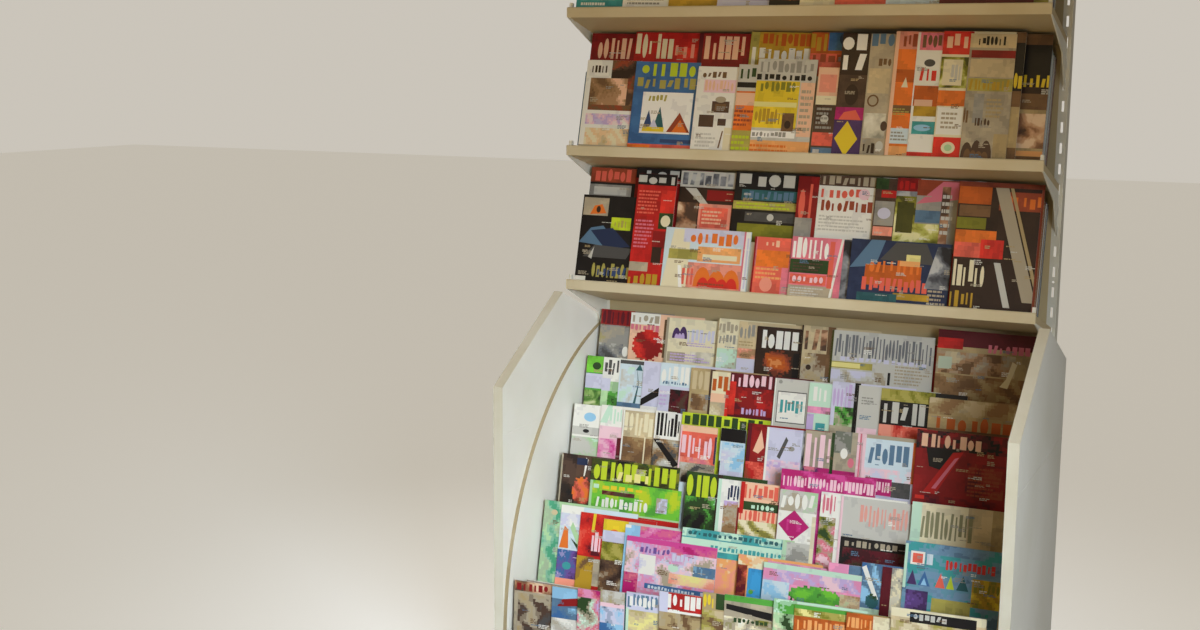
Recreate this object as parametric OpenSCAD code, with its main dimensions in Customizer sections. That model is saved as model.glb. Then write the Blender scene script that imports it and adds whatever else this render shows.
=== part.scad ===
// Magazine display bay of a news kiosk: three tilted shelves over a stepped rack, with its stock.
// Origin: floor level, middle of the width and of the depth. Front faces -Y, X to the right, Z up.

/* [Bay] */
// Distance between the centre lines of the two slotted uprights
bay_pitch = 1200; // [1100:10:1400]
// Height of the uprights and of the back wall
bay_h = 2150; // [2130:10:2400]
// Depth of an upright from front to back
upright_d = 40; // [30:1:60]
// Width of an upright
upright_w = 22; // [20:1:30]
// Wall of the folded upright
upright_t = 2; // [1.5:0.5:3]

/* [Shelves] */
// Height of the front top edge of the lowest shelf
shelf_z = 1095; // [1095:1:1110]
// Slot holes between one shelf and the next
shelf_slots = 7; // [7:1:7]
// Depth of a shelf from the face of the uprights
shelf_d = 250; // [240:1:270]
// Backward tilt of the shelf boards
shelf_tilt = 15; // [12:0.5:16]
// Thickness of the shelf boards
shelf_t = 16; // [12:1:18]
// Height of the front strip
strip_h = 26; // [24:1:30]
// Thickness of the front strip
strip_t = 8; // [6:1:10]
// Height of the front strip above the board
lip_h = 8; // [5:1:10]

/* [Rack] */
// Step of the rack tiers downwards
tier_drop = 116; // [110:1:118]
// Backward lean of the tiers
tier_lean = 12; // [10:0.5:14]
// Thickness of tier boards and ledges
tier_t = 9; // [6:1:12]
// Height of a tier board over its ledge
tier_board_h = 235; // [200:1:250]
// Height of the floor of the front bin
bin_z = 95; // [90:1:110]
// Height of the rail of the front bin
bin_rail_z = 240; // [210:1:250]
// Thickness of the panel in front of the bin
front_t = 4; // [3:0.5:6]

/* [Side panels] */
// Thickness of the outer gables
gable_t = 25; // [18:1:32]
// Height of the front corner of a gable
gable_z = 865; // [800:1:900]
// Reach of the gables in front of the uprights
gable_d = 583; // [575:1:600]
// Thickness of the inner cheeks
cheek_t = 9; // [6:1:12]
// Radius of the curved front edge of a cheek
cheek_r = 748; // [740:1:760]
// Thickness of the edge bands
band_t = 2; // [1:0.5:3]

/* [Stock] */
// Thickness of one magazine
mag_t = 3; // [2:0.2:3.6]
// Height of a standard magazine
mag_h = 297; // [280:1:297]
// Width of a standard magazine
mag_w = 210; // [190:1:230]

/* [Hidden] */

slot_pitch = 50;
slot_w = 6;
slot_h = 25;
slot_first = 110;
slot_count = floor((bay_h - slot_first - slot_h) / slot_pitch);
shelf_pitch = shelf_slots * slot_pitch;
blade_t = 3;
blade_nose = 4;
blade_tip_d = 60;
blade_tip_h = 36;
hook_drop = 135;
hook_h = 20;
hook_in = 10;
panel_t = 12;
panel_joint = 10;
cap_t = 18;
rear = (gable_d + upright_d) / 2;
face = rear - upright_d;
half = bay_pitch / 2;
inner = half - upright_w / 2;
outer = half + upright_w / 2;
rack_half = outer - cheek_t;
strip_half = half + blade_t / 2;
gap = 0.2;
side_gap = 1.5;
cheek_y = cheek_r + band_t - gable_d;
cheek_z = 221;
seam_drop = 120;
seam_z = gable_z - seam_drop;
seam_w = 1.5;
tier_first_z = 693;
bin_reach = 126;

// The first tier keeps its board clear of the wall, and the others share the way to the bin
wall_gap = 10.4;
tiers_d = gable_d - bin_reach;
lean_in = tier_board_h * sin(tier_lean) - tier_drop * sin(tier_lean) * cos(tier_lean) + wall_gap;
tier_first_y = (tiers_d * pow(cos(tier_lean), 2) / 4 + lean_in) / (1 + pow(cos(tier_lean), 2) / 4);
tier_run = (tiers_d - tier_first_y) / 4;
step_in = tier_run * cos(tier_lean) - tier_drop * sin(tier_lean);
pocket = step_in - tier_t;
bin_lean = 4;
gable_fall = 22;
gable_gap = 12;
bin_depth = 62;
bin_board_h = 215;
bin_floor_d = 75;
plinth_t = 16;
rail_over = 4;
fix_low = 1135;
fix_high = 2085;
fix_r = 3;

// Stock: shares of a row's length, and factors of the standard width and height
least_step = 0.04;
widest = 1.26;
shelf_row = 2 * strip_half;
rack_row = 2 * rack_half;
fan = asin((mag_t + gap) / (least_step * shelf_row));
fan_depth = widest * mag_w * sin(fan) + mag_t + gap;
row_end = 14;
shelf_front = 2;
shelf_pile = 12;
shelf_rear = shelf_front + fan_depth + shelf_pile;
tier_front = mag_t + 2;
bin_front_gap = 1;
pile_share = 0.92;
full_share = 0.985;

// Cream board, white board, white steel, tan trim and paper
cream = [0.86, 0.79, 0.62];
white = [0.88, 0.87, 0.82];
steel = [0.90, 0.90, 0.87];
tan_trim = [0.60, 0.50, 0.37];
paper = [0.82, 0.80, 0.75];

// Profile drawn as distance behind the rear face and height, extruded along the width
module across(x0, w) {
    translate([x0, 0, 0])
        rotate([90, 0, 90])
            linear_extrude(w)
                children();
}

// Both sides of the bay
module both() {
    children();
    mirror([1, 0, 0])
        children();
}

// Local frame leaning backward, at a distance in front of the uprights and a height
module leaning(d, z, a) {
    translate([0, face - d, z])
        rotate([-a, 0, 0])
            children();
}

function shelf_top_z(i) = shelf_z + i * shelf_pitch;
function tier_y(k) = tier_first_y + (k - 1) * tier_run;
function tier_z(k) = tier_first_z - (k - 1) * tier_drop;

// Folded steel upright with a row of slots and two wall-fixing holes in its front wall
module upright() {
    translate([half, face, 0])
        difference() {
            translate([-upright_w / 2, 0, 0])
                cube([upright_w, upright_d, bay_h]);
            translate([-upright_w / 2 + upright_t, upright_t, -1])
                cube([upright_w - 2 * upright_t, upright_d, bay_h + 2]);
            for (i = [0 : slot_count - 1])
                translate([-slot_w / 2, -1, slot_first - slot_h / 2 + i * slot_pitch])
                    cube([slot_w, upright_t + 2, slot_h]);
            for (z = [fix_low, fix_high])
                translate([0, -1, z])
                    rotate([-90, 0, 0])
                        cylinder(h = upright_t + 2, r = fix_r, $fn = 32);
        }
}

module upright_right() {
    color(steel)
        upright();
}

module upright_left() {
    color(steel)
        mirror([1, 0, 0])
            upright();
}

// Wall panels meet behind the lowest and the highest shelf
panel_ends = [0, under_z(shelf_top_z(0), 0) - panel_joint, under_z(shelf_top_z(2), 0) - panel_joint, bay_h];

module wall_panel(i) {
    color(cream)
        translate([-inner, face, panel_ends[i]])
            cube([2 * inner, panel_t, panel_ends[i + 1] - panel_ends[i]]);
}

module back_panel_lower() {
    wall_panel(0);
}

module back_panel_middle() {
    wall_panel(1);
}

module back_panel_upper() {
    wall_panel(2);
}

// Rail closing the tops of the uprights and of the wall
module cap_rail() {
    color(cream)
        translate([-outer, face - 4, bay_h])
            cube([2 * outer, upright_d + 4, cap_t]);
}

// Underside of a shelf board at a distance in front of the uprights
function under_z(z, d) = z - lip_h - shelf_t / cos(shelf_tilt) - (shelf_d - strip_t - d) * tan(shelf_tilt);

// Tapered steel blade with two hooks turned down behind the slotted wall
module bracket(z) {
    hooks = [z - hook_drop, z - hook_drop - slot_pitch];
    back_low = z - hook_drop - slot_pitch - hook_h / 2;
    across(half - blade_t / 2, blade_t) {
        polygon([
            [face - shelf_d + strip_t, under_z(z, shelf_d - strip_t)],
            [face - shelf_d + strip_t, under_z(z, shelf_d - strip_t) - blade_nose],
            [face - blade_tip_d, under_z(z, blade_tip_d) - blade_tip_h],
            [face, back_low],
            [face, under_z(z, 0)]]);
        for (h = hooks) {
            translate([face - 1, h - hook_h / 2])
                square([hook_in + 1, hook_h]);
            translate([face + upright_t + gap, h - hook_h / 2 - 6])
                square([hook_in - upright_t - gap, hook_h]);
        }
    }
}

module brackets(i) {
    color(steel)
        both()
            bracket(shelf_top_z(i));
}

module brackets_lower() {
    brackets(0);
}

module brackets_middle() {
    brackets(1);
}

module brackets_top() {
    brackets(2);
}

// Board with plumb front and rear edges, tilted back between strip and wall
module board(i) {
    z = shelf_top_z(i);
    rise = shelf_t / cos(shelf_tilt);
    front = shelf_d - strip_t;
    color(cream)
        across(-strip_half, 2 * strip_half)
            polygon([
                [face - front, under_z(z, front)],
                [face - 2, under_z(z, 2)],
                [face - 2, under_z(z, 2) + rise],
                [face - front, under_z(z, front) + rise]]);
}

module shelf_lower() {
    board(0);
}

module shelf_middle() {
    board(1);
}

module shelf_top() {
    board(2);
}

// Front strip with a rounded top edge
module strip(i) {
    z = shelf_top_z(i);
    r = strip_t / 2;
    color(cream)
        across(-strip_half, 2 * strip_half)
            translate([face - shelf_d, z - strip_h]) {
                square([strip_t, strip_h - r]);
                translate([r, strip_h - r])
                    circle(r = r, $fn = 32);
            }
}

module strip_lower() {
    strip(0);
}

module strip_middle() {
    strip(1);
}

module strip_top() {
    strip(2);
}

// Small clips standing at the shelf ends, behind the strips
module end_stops() {
    color(steel)
        for (i = [0 : 2])
            both()
                leaning(shelf_d - strip_t, shelf_top_z(i) - lip_h, shelf_tilt)
                    translate([strip_half - 10, gap, 0])
                        cube([8, 10, 20]);
}

// Outer gable: sloping top under the lowest shelf, plumb front edge, a joint line on both faces
module gable() {
    top = under_z(shelf_z, shelf_d - strip_t) - gable_gap;
    color(white)
        difference() {
            across(outer, gable_t)
                polygon([
                    [rear, 0],
                    [face - gable_d + band_t, 0],
                    [face - gable_d + band_t, gable_z],
                    [face - shelf_d, top],
                    [rear, top - (shelf_d + upright_d) * tan(gable_fall)]]);
            for (x = [outer - 1, outer + gable_t - 1])
                translate([x, face - gable_d - 1, seam_z])
                    cube([2, gable_d + upright_d + 2, seam_w]);
        }
}

module gable_right() {
    gable();
}

module gable_left() {
    mirror([1, 0, 0])
        gable();
}

// Edge band on the slope and on the plumb front edge of a gable
module gable_band() {
    top = under_z(shelf_z, shelf_d - strip_t) - gable_gap;
    lift = band_t / cos(atan((top - gable_z) / (gable_d - band_t - shelf_d)));
    color(cream)
        across(outer, gable_t)
            polygon([
                [face - gable_d, 0],
                [face - gable_d + band_t, 0],
                [face - gable_d + band_t, gable_z],
                [face - shelf_d, top],
                [face - shelf_d, top + lift],
                [face - gable_d, gable_z + lift - band_t * (top - gable_z) / (gable_d - band_t - shelf_d)]]);
}

module gable_band_right() {
    gable_band();
}

module gable_band_left() {
    mirror([1, 0, 0])
        gable_band();
}

// Outline of a cheek: an arc that falls plumb below its centre
module cheek_shape(r) {
    intersection() {
        union() {
            translate([face + cheek_y, cheek_z])
                circle(r = r, $fn = 96);
            translate([face + cheek_y - r, 0])
                square([r, cheek_z]);
        }
        translate([face - 2 * cheek_r, 0])
            square([2 * cheek_r, 2 * cheek_r]);
    }
}

module cheek() {
    color(white)
        across(rack_half, cheek_t)
            cheek_shape(cheek_r);
}

module cheek_right() {
    cheek();
}

module cheek_left() {
    mirror([1, 0, 0])
        cheek();
}

// Thin tan trim following the curved edge of a cheek
module cheek_trim() {
    color(tan_trim)
        across(rack_half, cheek_t)
            difference() {
                cheek_shape(cheek_r + band_t);
                cheek_shape(cheek_r);
            }
}

module cheek_trim_right() {
    cheek_trim();
}

module cheek_trim_left() {
    mirror([1, 0, 0])
        cheek_trim();
}

// Leaning board with the ledge in front of it
module tier(k) {
    color(white)
        leaning(tier_y(k), tier_z(k), tier_lean)
            across(-rack_half, 2 * rack_half) {
                translate([0, -tier_t])
                    square([pocket + tier_t, tier_t]);
                translate([pocket, -tier_t])
                    square([tier_t, tier_board_h + tier_t]);
            }
}

module tier_1() {
    tier(1);
}

module tier_2() {
    tier(2);
}

module tier_3() {
    tier(3);
}

module tier_4() {
    tier(4);
}

module tier_5() {
    tier(5);
}

// Front bin: leaning back board, floor, low front panel and rail
bin_in = gable_d - rail_over - front_t;

module bin_back() {
    color(white)
        leaning(bin_in, bin_z, bin_lean)
            translate([-rack_half, bin_depth, 0])
                cube([2 * rack_half, tier_t, bin_board_h]);
}

module bin_floor() {
    color(white)
        across(-rack_half, 2 * rack_half)
            polygon([
                [face - bin_in, bin_z - tier_t],
                [face - bin_in, bin_z],
                [face - bin_in + bin_floor_d, bin_z - bin_floor_d * tan(bin_lean)],
                [face - bin_in + bin_floor_d, bin_z - bin_floor_d * tan(bin_lean) - tier_t]]);
}

module bin_front() {
    color(white)
        translate([-rack_half, face - bin_in - front_t, 20])
            cube([2 * rack_half, front_t, bin_rail_z - 26]);
}

// Rail with a rounded top, gripping the front panel
module bin_rail() {
    color(tan_trim)
        across(-rack_half, 2 * rack_half)
            translate([face - bin_in - front_t / 2, 0])
                difference() {
                    union() {
                        translate([-6, bin_rail_z - 18])
                            square([12, 12]);
                        translate([0, bin_rail_z - 6])
                            circle(r = 6, $fn = 32);
                    }
                    translate([-front_t / 2, bin_rail_z - 20])
                        square([front_t, 14]);
                }
}

// Kick board under the bin
module plinth() {
    color(cream)
        translate([-rack_half, face - bin_in, 0])
            cube([2 * rack_half, plinth_t, bin_z - tier_t - 6]);
}

// One magazine: item is [share of the row, width factor, height factor], standing d behind the row's front
module magazine(item, row, d, turn) {
    x = item[0] * row / 100;
    w = min(item[1] * mag_w, (row - x - row_end) / cos(turn));
    translate([x - row / 2, d, 0])
        rotate([0, 0, turn])
            cube([w, mag_t, item[2] * mag_h]);
}

// Fanned magazines: each one's right side lies behind the next one
module fanned(items, row, d) {
    for (item = items)
        magazine(item, row, d, fan);
}

// Single magazines standing flat in front of the fan
module flat(items, row, d) {
    for (item = items)
        magazine(item, row, d, 0);
}

// Equal piles of copies filling the depth behind the fan, up to a share of the row
module piles(row, d0, d1, h, n, share) {
    each_w = (share * row - row_end) / n;
    for (i = [0 : n - 1])
        translate([row_end - row / 2 + i * each_w + side_gap / 2, d0, 0])
            cube([each_w - side_gap, d1 - d0, h - 6 * (i % 3)]);
}

// Piles stay lower than the lowest copy in front of them
function pile_h(items) = (min([for (item = items) item[2]]) - 0.04) * mag_h;

shelf_stock_d = shelf_d - strip_t;
tallest = 1.07;
// The rear piles end where the tallest copies would meet the wall
shelf_stock_end = (shelf_stock_d - tallest * mag_h * sin(shelf_tilt)) / cos(shelf_tilt) - gap;

module shelf_stock(i, rear_items, front_items) {
    color(paper)
        leaning(shelf_stock_d, shelf_top_z(i) - lip_h, shelf_tilt) {
            fanned(front_items, shelf_row, shelf_front);
            piles(shelf_row, shelf_front + fan_depth, shelf_rear - gap, pile_h(front_items), 7, pile_share);
            fanned(rear_items, shelf_row, shelf_rear);
            piles(shelf_row, shelf_rear + fan_depth, shelf_stock_end, pile_h(rear_items), 6, full_share);
        }
}

module magazines_shelf_top() {
    shelf_stock(2,
        [[1.4, 1, 1.04], [10.8, 1, 1.07], [20.5, 1, 1.02], [29.7, 1.04, 1.06], [40.2, 1, 1.07],
            [49, 1, 1.01], [57.8, 1, 1.05], [66, 1, 1.03], [74.2, 1, 1.06], [82.2, 0.97, 1.04]],
        [[1.6, 1, 0.96], [12.4, 0.8, 0.76], [22.8, 0.78, 0.74], [33.5, 0.8, 0.8], [44.6, 1, 0.97],
            [51, 1, 1], [58.2, 0.8, 0.74], [68.4, 0.8, 0.79], [78.8, 1, 0.98]]);
}

module magazines_shelf_middle() {
    shelf_stock(1,
        [[1.3, 1, 1.06], [11.7, 1, 1.07], [26.4, 1, 1.06], [37.9, 1.05, 1.07], [51, 1, 1.065],
            [61, 1, 1.05], [71, 1, 1.06], [82, 0.99, 1.055]],
        [[2.3, 0.71, 0.79], [13.8, 0.82, 0.78], [28.1, 0.76, 0.74], [37, 0.8, 0.76], [41.1, 0.71, 0.81],
            [54.1, 0.8, 0.74], [58.4, 1, 1.03], [64.2, 1, 1.02], [69.2, 1, 1.04], [73.6, 1, 1.03],
            [78.6, 0.9, 1.04], [83.9, 0.5, 1.02]]);
}

module magazines_shelf_lower() {
    shelf_stock(0,
        [[1.3, 1, 1.06], [12.2, 1, 1.07], [22.7, 1, 1.06], [35.2, 1.07, 1.07], [49.1, 1, 1.05],
            [53.6, 1.02, 1.07], [65.5, 1, 1.06], [69.9, 1, 1.07], [74.1, 1.02, 1.06], [82.4, 0.95, 1.06]],
        [[1.5, 0.95, 0.79], [14.1, 0.5, 1], [21.8, 1.08, 0.54], [41.9, 0.8, 0.5], [50, 0.9, 0.52],
            [62.5, 1.15, 0.53], [83.1, 0.9, 1]]);
}

module tier_stock(k, fanned_items, flat_items) {
    color(paper)
        leaning(tier_y(k), tier_z(k), tier_lean) {
            flat(flat_items, rack_row, 1);
            fanned(fanned_items, rack_row, tier_front);
            piles(rack_row, tier_front + fan_depth, pocket - gap, pile_h(fanned_items), 5, full_share);
        }
}

module magazines_tier_1() {
    tier_stock(1,
        [[1, 1, 1.02], [8.4, 1, 1.01], [17.2, 1.02, 0.99], [29.4, 1, 1.02], [34.4, 1, 1.01],
            [38.6, 1.02, 0.98], [48.7, 0.98, 1.02], [55.4, 1.25, 1], [78, 1.14, 1.08]],
        []);
}

module magazines_tier_2() {
    tier_stock(2,
        [[0.8, 1, 1.02], [4.9, 1, 1.02], [9, 1, 1.01], [14.7, 1, 1.015], [18.8, 1.02, 1.02],
            [26, 1, 1], [31, 0.98, 0.985], [35.2, 1.05, 0.99], [45.3, 1, 0.98], [52.9, 1, 0.97],
            [57.9, 1, 1], [63.3, 0.98, 0.985], [68.4, 1, 0.98], [78.4, 1.16, 0.945]],
        []);
}

module magazines_tier_3() {
    tier_stock(3,
        [[1, 1, 1.02], [7.6, 1, 1.035], [13, 1.02, 1.01], [20.6, 0.98, 1.03], [26.8, 1.12, 1.05],
            [41.9, 1, 1.015], [46.1, 1, 1], [54.5, 1.02, 1.01], [60.8, 1, 1.03], [66.7, 1.04, 1],
            [77.6, 1.18, 1.12]],
        [[26.9, 0.48, 0.94], [36.1, 0.32, 0.95]]);
}

module magazines_tier_4() {
    tier_stock(4,
        [[1.5, 0.98, 1.02], [8.8, 1.15, 1.01], [31, 1, 1], [38.2, 0.98, 0.97], [43.2, 1, 0.97],
            [51.6, 1.12, 1.12], [60.4, 1, 0.97], [64.6, 1.1, 0.955], [79, 1.12, 0.985]],
        [[9, 1.22, 0.82], [51.8, 0.46, 0.95]]);
}

module magazines_tier_5() {
    tier_stock(5,
        [[0.8, 0.98, 1.05], [4.9, 1, 1.03], [9.6, 0.98, 0.99], [15.1, 1, 0.96], [20.2, 1.1, 0.94],
            [33, 1.22, 0.985], [45.7, 1, 0.83], [52, 1.1, 0.81], [64.6, 1, 0.87], [71.3, 1, 0.91],
            [75.4, 1, 0.9], [79.5, 1.14, 1.13]],
        [[20.9, 1.16, 0.85], [51.3, 1.16, 0.8]]);
}

module magazines_bin() {
    items = [[0.8, 0.98, 0.92], [9.6, 0.98, 0.92], [15.5, 1, 0.94], [20.6, 0.98, 0.96], [26.4, 1.02, 0.98],
        [33.6, 0.98, 1.03], [42.8, 1, 1.08], [47.4, 1.02, 1.09], [57.5, 1.05, 1.12], [61.7, 1.1, 1.1],
        [72, 1.02, 1.1], [80.5, 1, 1.2]];
    color(paper)
        leaning(bin_in, bin_z, bin_lean) {
            fanned(items, rack_row, bin_front_gap);
            piles(rack_row, bin_front_gap + fan_depth, bin_depth - gap, pile_h(items), 5, full_share);
        }
}

upright_left();
upright_right();
back_panel_lower();
back_panel_middle();
back_panel_upper();
cap_rail();
brackets_lower();
brackets_middle();
brackets_top();
shelf_lower();
shelf_middle();
shelf_top();
strip_lower();
strip_middle();
strip_top();
end_stops();
gable_left();
gable_right();
gable_band_left();
gable_band_right();
cheek_left();
cheek_right();
cheek_trim_left();
cheek_trim_right();
tier_1();
tier_2();
tier_3();
tier_4();
tier_5();
bin_back();
bin_floor();
bin_front();
bin_rail();
plinth();
magazines_shelf_top();
magazines_shelf_middle();
magazines_shelf_lower();
magazines_tier_1();
magazines_tier_2();
magazines_tier_3();
magazines_tier_4();
magazines_tier_5();
magazines_bin();
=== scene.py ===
import math
import random
from collections import namedtuple

import bpy
from mathutils import Matrix, Vector


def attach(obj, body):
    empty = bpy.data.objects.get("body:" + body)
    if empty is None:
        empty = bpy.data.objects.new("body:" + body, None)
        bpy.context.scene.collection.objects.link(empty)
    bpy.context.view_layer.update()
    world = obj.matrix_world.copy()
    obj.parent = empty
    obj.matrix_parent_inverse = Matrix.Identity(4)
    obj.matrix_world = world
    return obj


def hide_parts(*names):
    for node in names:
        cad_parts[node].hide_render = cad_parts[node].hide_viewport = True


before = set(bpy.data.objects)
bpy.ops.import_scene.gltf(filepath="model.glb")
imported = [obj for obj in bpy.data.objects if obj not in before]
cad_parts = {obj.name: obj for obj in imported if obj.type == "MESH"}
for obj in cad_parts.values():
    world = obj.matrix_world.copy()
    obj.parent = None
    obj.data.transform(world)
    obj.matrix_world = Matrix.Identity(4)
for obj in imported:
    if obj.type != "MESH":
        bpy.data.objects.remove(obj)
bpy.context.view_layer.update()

# A stocked magazine bay: its boards get their finishes, and each copy of its stock a printed cover.

MM = 0.001    # metres in a millimetre


# Colours
def linear(text):
    """Hex colour as linear red, green, blue."""
    out = []
    for i in (0, 2, 4):
        c = int(text[i:i + 2], 16) / 255
        out.append(c / 12.92 if c <= 0.04045 else ((c + 0.055) / 1.055) ** 2.4)
    return out


HUES = {
    "white": "e8e7e4", "paper": "e0dfd9", "cream": "dcd3b4", "beige": "bfae8c", "sand": "a8946c",
    "stone": "a59a86", "grey": "8f8d88", "silver": "bdbcb6", "coal": "4b4a4a", "black": "1b1819",
    "umber": "33241d", "brown": "6d5138", "hazel": "8a6a48", "maroon": "561420", "wine": "86191b",
    "red": "b3211f", "scarlet": "cf3128", "coral": "d9604f", "salmon": "df8f7c", "peach": "e3b79a",
    "rose": "cf6f82", "pink": "d68ab0", "blush": "e3bfcb", "magenta": "ad2069", "candy": "c8458f",
    "lilac": "b9a3cf", "lavender": "c3c3da", "violet": "6b4d93", "purple": "47305f", "navy": "242f4d",
    "indigo": "2f4470", "blue": "3a6498", "steel": "55738f", "azure": "3c95cc", "sky": "8dbddd",
    "ice": "c3d3dd", "teal": "3d9497", "petrol": "2b5a60", "mint": "b9d8c4", "sage": "a5c89a",
    "green": "4f9a3c", "grass": "6dbb3a", "forest": "2b4222", "lime": "b3c52b", "olive": "7b7a26",
    "moss": "45451c", "khaki": "a39a4e", "yellow": "d8bd2d", "straw": "ddd48b", "mustard": "b08d2a",
    "tan": "a5805f", "fog": "6b6d73", "orange": "d9702a", "copper": "b4571f", "apricot": "e0a063",
    "rust": "90412a", "cocoa": "4e3a30",
}

# Shades of a hue, by the letter after ~, as factors of red, green and blue
SHADES = {
    "": (1, 1, 1), "a": (0.76, 0.77, 0.8), "b": (0.89, 0.89, 0.91),
    "c": (1.09, 1.08, 1.06), "d": (1.2, 1.18, 1.14),
}

# Light and dark hues, by the sum of their linear red, green and blue
LIGHT = [name for name in HUES if sum(linear(HUES[name])) > 1.45]
DARK = [name for name in HUES if sum(linear(HUES[name])) < 0.5]


def surface(name, colour, rough, shine=0.3):
    """New plain material."""
    material = bpy.data.materials.new(name)
    material.use_nodes = True
    base = material.node_tree.nodes["Principled BSDF"]
    base.inputs["Base Color"].default_value = (*colour, 1)
    base.inputs["Roughness"].default_value = rough
    base.inputs["Specular IOR Level"].default_value = shine
    return material


def clouds(material, scale, detail, twist=0):
    """Noise over the object, as a socket of the material's nodes."""
    tree = material.node_tree
    where = tree.nodes.new("ShaderNodeTexCoord")
    noise = tree.nodes.new("ShaderNodeTexNoise")
    noise.inputs["Scale"].default_value = scale
    noise.inputs["Detail"].default_value = detail
    noise.inputs["Distortion"].default_value = twist
    tree.links.new(where.outputs["Object"], noise.inputs["Vector"])
    return noise.outputs["Fac"]


def paint(material, socket):
    """Takes a material's colour from a socket of its nodes."""
    tree = material.node_tree
    tree.links.new(socket, tree.nodes["Principled BSDF"].inputs["Base Color"])


# Printing inks and pictures
PRINT_ROUGH = 0.42
NOISE_LOW, NOISE_SPAN = 0.36, 0.28    # most of a picture's noise lies in this range


def tint(name):
    """Linear colour of one hue, with its shade."""
    hue, _, shade = name.partition("~")
    return [min(0.9, c * f) for c, f in zip(linear(HUES[hue]), SHADES[shade])]


def ink(name):
    """Flat printed colour; + joins two hues in equal parts."""
    mixed = [sum(c) / len(c) for c in zip(*[tint(n) for n in name.split("+")])]
    return surface("ink_" + name.replace("~", "_").replace("+", "_"), mixed, PRINT_ROUGH)


# Tones from dark to light, scale of the patches, and how far they are twisted
PICTURES = {
    "garden": (("2b4222", "4f7a34", "8aa860", "c9cfa0"), 26, 0.6),
    "dusk": (("3a241f", "90412a", "d98c4a", "efc98a"), 18, 0.4),
    "water": (("24425e", "4f7f9f", "9cc2cf", "dde8e6"), 20, 0.5),
    "linen": (("8f8d80", "b8b3a2", "d3cebd", "e9e6da"), 22, 0.3),
    "clay": (("4e3a30", "8a6248", "bd9474", "dcc0a3"), 20, 0.4),
    "slate": (("26262b", "4b4d55", "80838a", "b4b5b6"), 20, 0.4),
    "berries": (("3d1016", "86191b", "c2403a", "dd9a80"), 24, 0.6),
    "meadow": (("45451c", "7b7a26", "b3b35a", "e0dca8"), 24, 0.5),
}


def picture(name):
    """Cloudy printed picture: soft patches of a few colours."""
    tones, scale, twist = PICTURES[name]
    material = surface("picture_" + name, (0.5, 0.5, 0.5), PRINT_ROUGH)
    ramp = material.node_tree.nodes.new("ShaderNodeValToRGB")
    ramp.color_ramp.interpolation = "EASE"
    stops = ramp.color_ramp.elements
    while len(stops) < len(tones):
        stops.new(0.5)
    for i, tone in enumerate(tones):
        stops[i].position = NOISE_LOW + NOISE_SPAN * i / (len(tones) - 1)
        stops[i].color = (*linear(tone), 1)
    material.node_tree.links.new(clouds(material, scale, 3, twist), ramp.inputs["Fac"])
    paint(material, ramp.outputs["Color"])
    return material


made = {}


def material_of(name):
    """The material of a picture or an ink, made once."""
    if name not in made:
        made[name] = picture(name) if name in PICTURES else ink(name)
    return made[name]


# Boards, steel and edging
UNWORN, WORN = 0.42, 0.72    # noise at which the base colour ends and at which the worn one is reached


def board(name, base, worn, rough, scale):
    """Melamine, paint or edging: a base colour with faint cloudy wear."""
    material = surface(name, linear(base), rough)
    tree = material.node_tree
    mix = tree.nodes.new("ShaderNodeMix")
    mix.data_type = "RGBA"
    mix.inputs["A"].default_value = (*linear(base), 1)
    mix.inputs["B"].default_value = (*linear(worn), 1)
    span = tree.nodes.new("ShaderNodeMapRange")
    span.inputs["From Min"].default_value = UNWORN
    span.inputs["From Max"].default_value = WORN
    tree.links.new(clouds(material, scale, 5), span.inputs["Value"])
    tree.links.new(span.outputs["Result"], mix.inputs["Factor"])
    paint(material, mix.outputs["Result"])
    return material


cream_board = board("cream_board", "c4b28c", "bda981", 0.5, 3)
cream_strip = board("cream_strip", "d0c4a8", "c4b593", 0.4, 5)
white_board = board("white_board", "ebeae4", "e0ded4", 0.5, 3)
white_steel = board("white_steel", "e6e5dc", "d6d4c8", 0.4, 6)
band_white = board("band_white", "dedacb", "d2cbb6", 0.45, 5)
tan_trim = board("tan_trim", "a6987a", "978866", 0.55, 8)

# A node has the finish of the longest of these words that its name starts with
FINISH = {
    "upright": white_steel, "back_panel": cream_board, "cap_rail": cream_board, "brackets": white_steel,
    "shelf": cream_board, "strip": cream_strip, "end_stops": white_steel, "gable_band": band_white,
    "gable": white_board, "cheek_trim": tan_trim, "cheek": white_board, "tier": white_board,
    "bin_": white_board, "bin_rail": tan_trim, "plinth": cream_board,
}
for name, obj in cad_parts.items():
    if not name.startswith("magazines"):
        kind = max((k for k in FINISH if name.startswith(k)), key=len)
        obj.data.materials.clear()
        obj.data.materials.append(FINISH[kind])


# Forms of the print, as convex outlines in mm
def oblong(x0, y0, x1, y1):
    """Upright rectangle."""
    return [(x0, y0), (x1, y0), (x1, y1), (x0, y1)]


def ellipse(x, y, wide, tall, corners):
    """Ellipse round a point, by its half width and half height."""
    angles = [2 * math.pi * k / corners for k in range(corners)]
    return [(x + wide * math.cos(a), y + tall * math.sin(a)) for a in angles]


def arch(x, y, wide, tall, corners=9):
    """Half ellipse standing on a point."""
    angles = [math.pi * k / (corners - 1) for k in range(corners)]
    return [(x + wide * math.cos(a), y + tall * math.sin(a)) for a in angles]


TURN = 6.28                       # about a full turn in radians, for random phases
SKEW = 0.27                       # how far a patch's corner moves, as a share of the patch
WAVE_LENGTHS = (6, 10, 16)        # mm in which a wave of the field turns by at most one radian
WAVE_HEIGHT = 0.22
SPECKLE = 0.09                    # how far a single patch may leave the field
BEND = 9                          # mm, how far the field is bent sideways and upwards
BEND_SIDE, BEND_UP = 10, 13       # mm in which these bends turn by one radian
EDGE_AT, EDGE_PLAY = 0.9, 0.16    # edge of a round picture and its play, as shares of its half width
FOCUS_FALL = 1.6                  # how steeply the field falls off from the middle


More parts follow.
